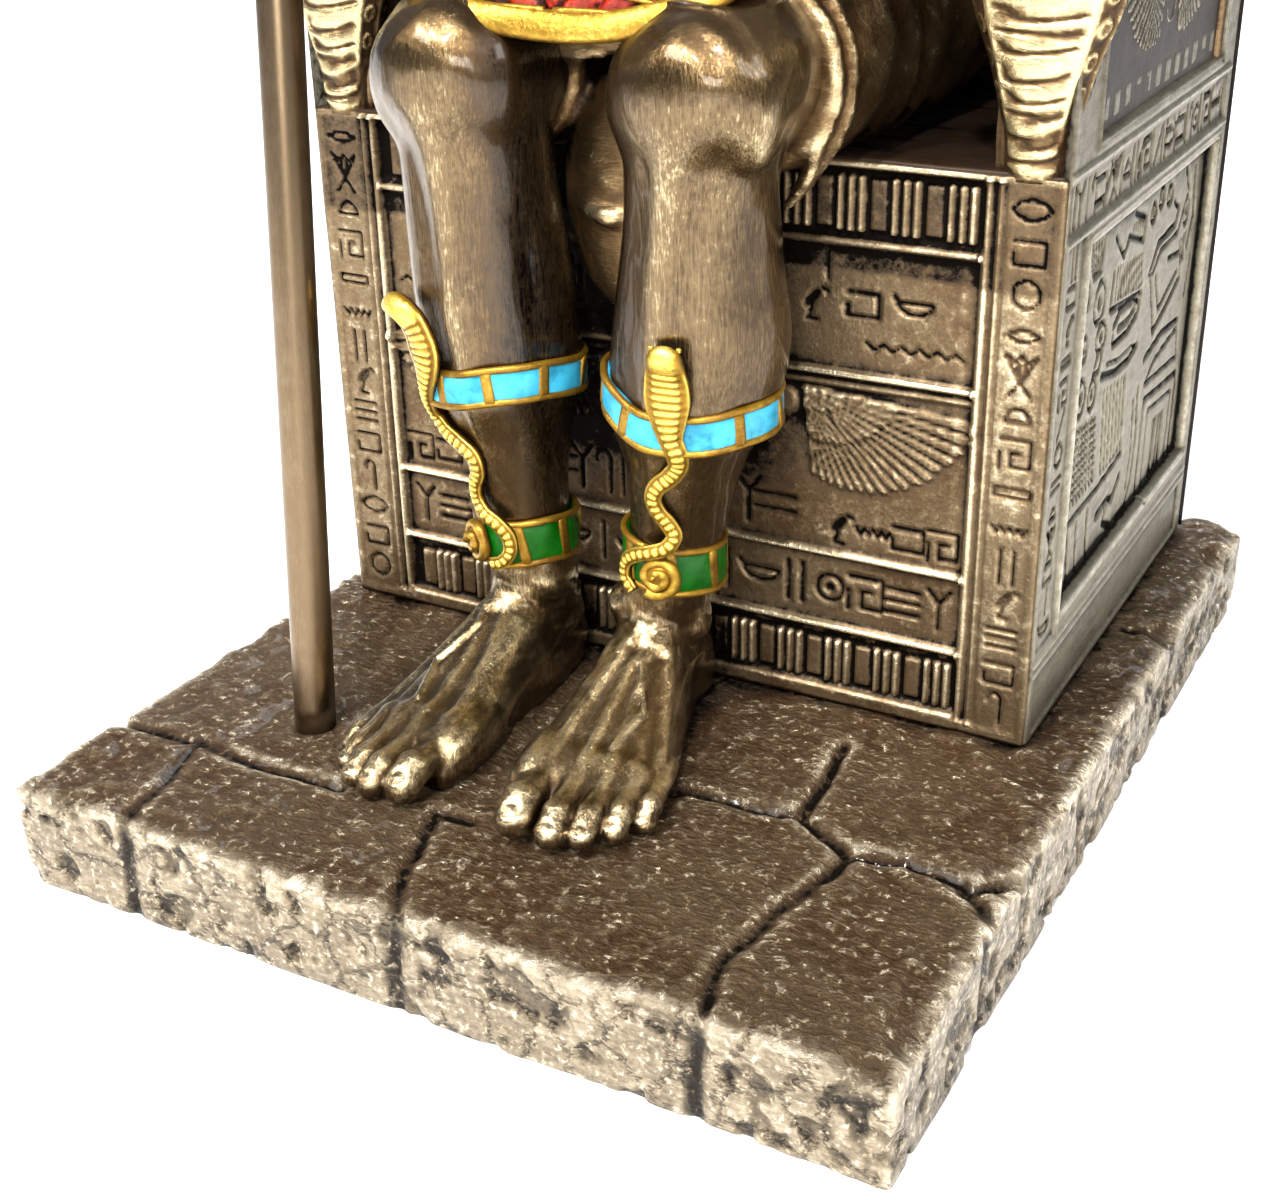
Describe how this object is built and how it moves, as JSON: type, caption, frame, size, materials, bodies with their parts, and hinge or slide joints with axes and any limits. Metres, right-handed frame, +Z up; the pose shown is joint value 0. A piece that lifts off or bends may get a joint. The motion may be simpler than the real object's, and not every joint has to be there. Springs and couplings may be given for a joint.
{
  "type": "anubis statue",
  "caption": "Seated jackal-headed figure in kilt and painted jewellery, holding a staff, on a relief-covered block throne with cobra armrests, on a flagstone slab.",
  "frame": {"origin": "middle of the slab's underside", "axes": "+X to the viewer's right of the seated figure, +Y to the back of the throne, +Z up"},
  "size_m": [0.114, 0.1424, 0.2461],
  "materials": {
    "slab_bronze": "dark bronze, rough as split stone, with worn silvery edges",
    "throne_bronze": "antiqued bronze with near-black recesses and rubbed pale edges",
    "figure_bronze": "polished brown bronze with brushed pale strokes",
    "staff_bronze": "satin bronze",
    "gold_paint": "bright gold paint with a brown wash",
    "blue_paint": "light blue enamel paint",
    "green_paint": "green enamel paint",
    "red_paint": "dark red enamel paint"
  },
  "bodies": {
    "root": {"plinth": "slab_bronze", "throne": "throne_bronze", "figure": "figure_bronze", "staff": "staff_bronze"}
  },
  "joints": []
}
